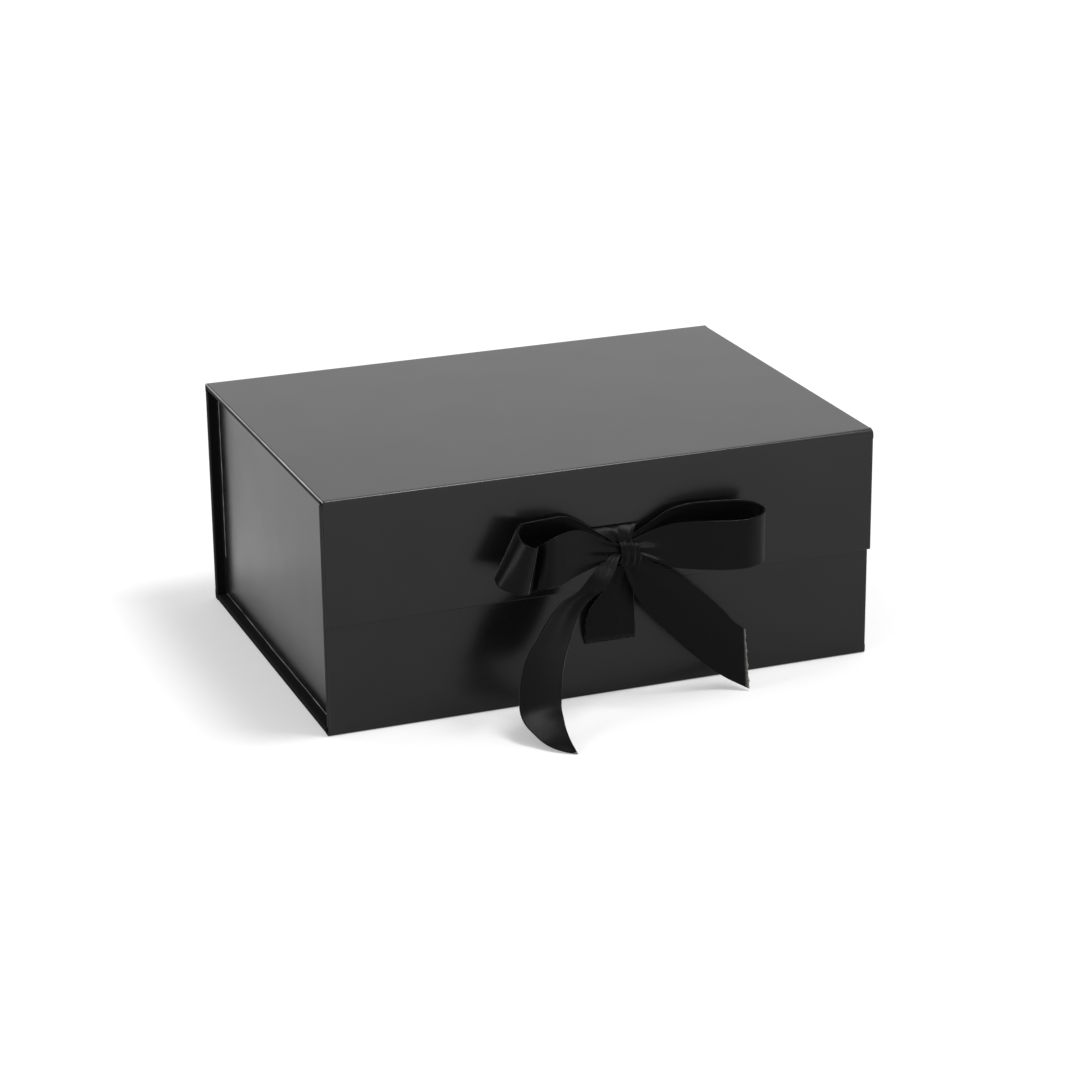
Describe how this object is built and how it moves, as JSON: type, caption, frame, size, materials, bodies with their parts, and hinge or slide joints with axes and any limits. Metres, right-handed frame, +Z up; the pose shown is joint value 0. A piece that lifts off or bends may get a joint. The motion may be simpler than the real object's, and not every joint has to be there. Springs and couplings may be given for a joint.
{
  "type": "gift box",
  "caption": "Rigid black wrapped gift box with a hinged lid, a magnetic front flap, side walls set in behind a lip, and a satin ribbon tied in a bow over the flap.",
  "frame": {"origin": "centre of the base's underside, midway between the front panel's and the spine's outer faces", "axes": "+X to the right along the width, the front with the flap and bow faces -Y, +Z up"},
  "size_m": [0.24, 0.2265, 0.101],
  "materials": {
    "wrap_paper": "satin",
    "lining_paper": "matte",
    "greyboard": "matte",
    "satin_ribbon": "satin",
    "magnet": "polished",
    "keeper_steel": "satin",
    "tape": "satin"
  },
  "bodies": {
    "tray": {"base_board": "greyboard", "base_wrap": "wrap_paper", "base_liner": "lining_paper", "spine_board": "greyboard", "spine_wrap": "wrap_paper", "spine_liner": "lining_paper", "front_board": "greyboard", "front_wrap": "wrap_paper", "front_liner": "lining_paper", "front_base_crease": "wrap_paper", "rear_base_crease": "wrap_paper", "left_side_board": "greyboard", "left_side_wrap": "wrap_paper", "left_side_liner": "lining_paper", "left_side_tapes": "tape", "right_side_board": "greyboard", "right_side_wrap": "wrap_paper", "right_side_liner": "lining_paper", "right_side_tapes": "tape", "keeper_plates": "keeper_steel", "lower_ribbon": "satin_ribbon"},
    "lid": {"lid_board": "greyboard", "lid_wrap": "wrap_paper", "lid_liner": "lining_paper", "lid_crease": "wrap_paper"},
    "flap": {"flap_board": "greyboard", "flap_wrap": "wrap_paper", "flap_liner": "lining_paper", "flap_magnets": "magnet", "flap_crease": "wrap_paper", "upper_ribbon": "satin_ribbon", "bow_knot": "satin_ribbon", "bow_left_loop": "satin_ribbon", "bow_right_loop": "satin_ribbon", "bow_left_tail": "satin_ribbon", "bow_right_tail": "satin_ribbon"}
  },
  "joints": [
    {"name": "lid_hinge", "type": "hinge", "parent": "tray", "child": "lid", "pos_m": [0, 0.0848, 0.0998], "axis": [-1, 0, 0], "range_deg": [0, 195], "deforming": ["lid_crease", "lower_ribbon"]},
    {"name": "flap_hinge", "type": "hinge", "parent": "lid", "child": "flap", "pos_m": [0, -0.08765, 0.0998], "axis": [-1, 0, 0], "range_deg": [0, 90], "deforming": ["flap_crease"]}
  ]
}
